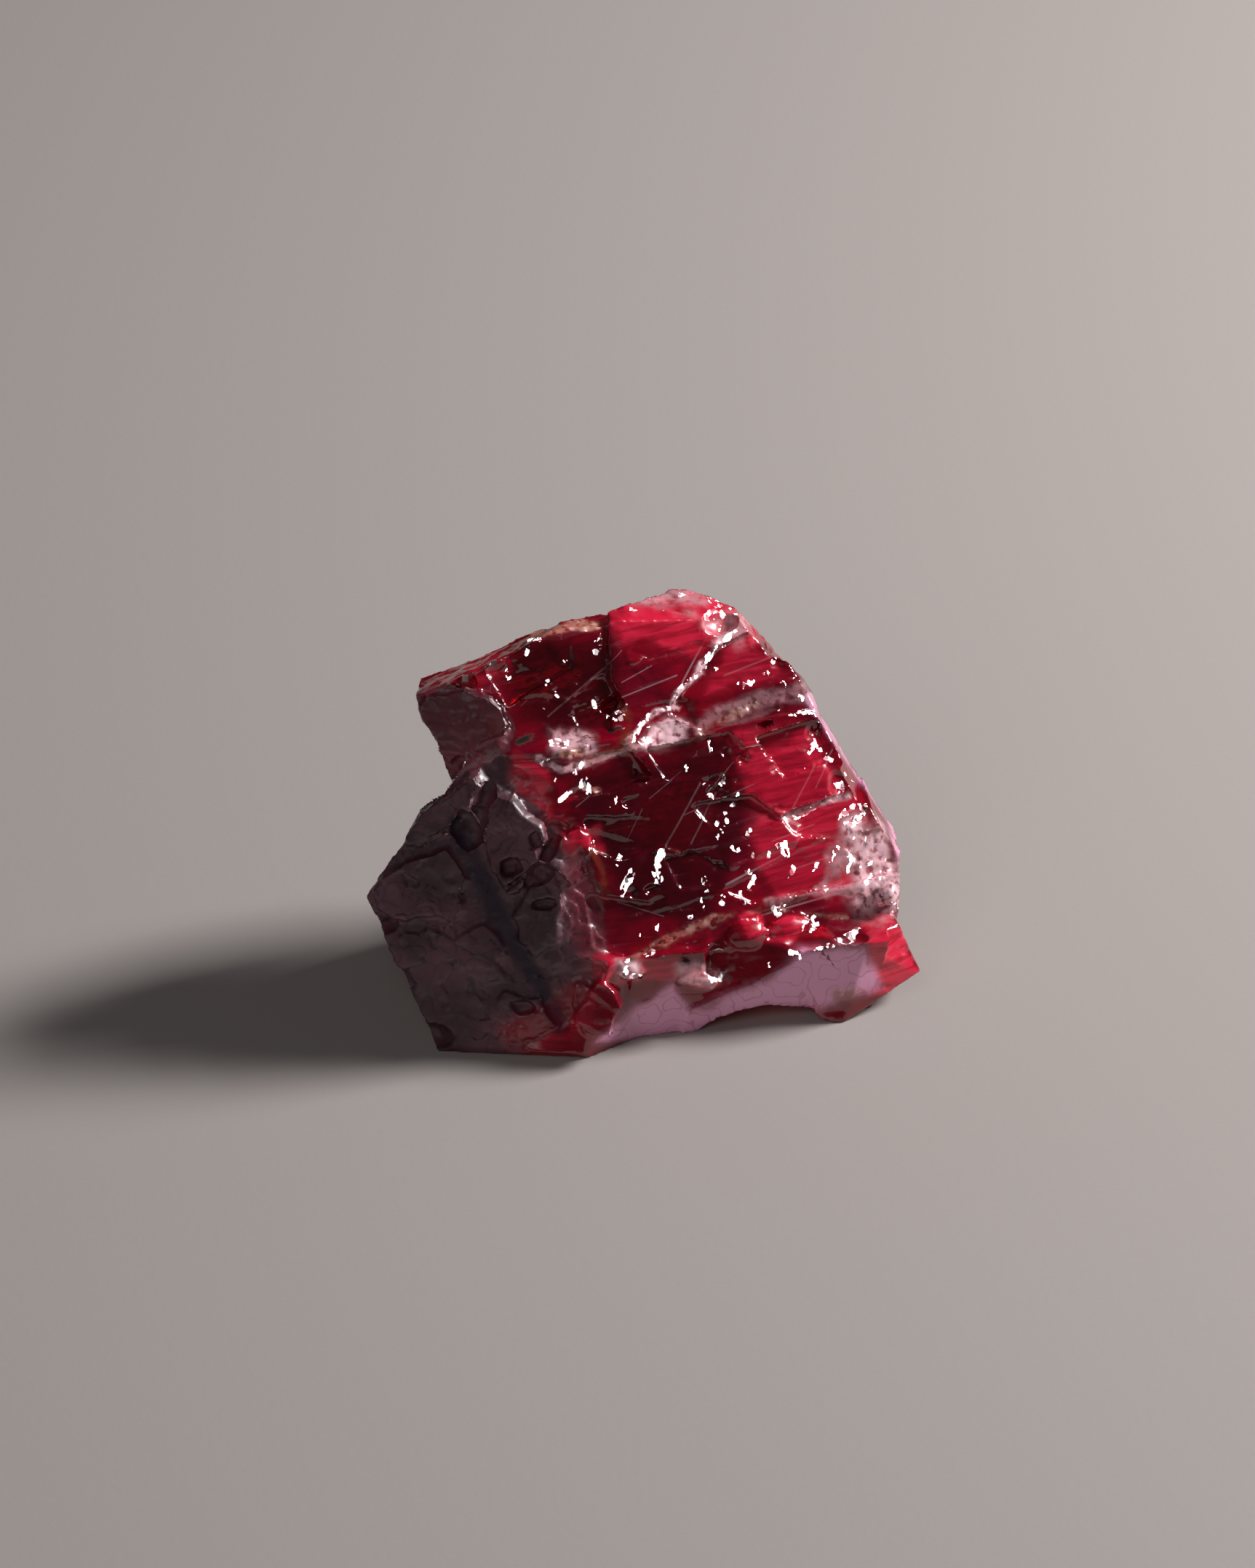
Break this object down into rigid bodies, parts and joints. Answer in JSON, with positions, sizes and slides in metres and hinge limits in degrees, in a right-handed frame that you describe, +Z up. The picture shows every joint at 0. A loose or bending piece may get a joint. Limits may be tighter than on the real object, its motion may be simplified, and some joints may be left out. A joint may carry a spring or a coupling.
{
  "type": "rough ruby crystal",
  "caption": "Rough red corundum crystal: a broken sloping front with level parting ledges, plated grown faces, an undercut foot and a flat underside that it rests on.",
  "frame": {"origin": "Centre of the bounding box in plan, at floor level.", "axes": "+X to the right as the picture shows the stone, +Y away from the viewer, +Z up. The stone is longest along X and lowest along Z."},
  "size_m": [0.022, 0.0152, 0.0145],
  "materials": {
    "ruby": "clear deep red crystal, glossy where broken, duller and etched on the grown faces, with tan mineral grains along the partings"
  },
  "bodies": {
    "root": {"ruby_crystal": "ruby"}
  },
  "joints": []
}
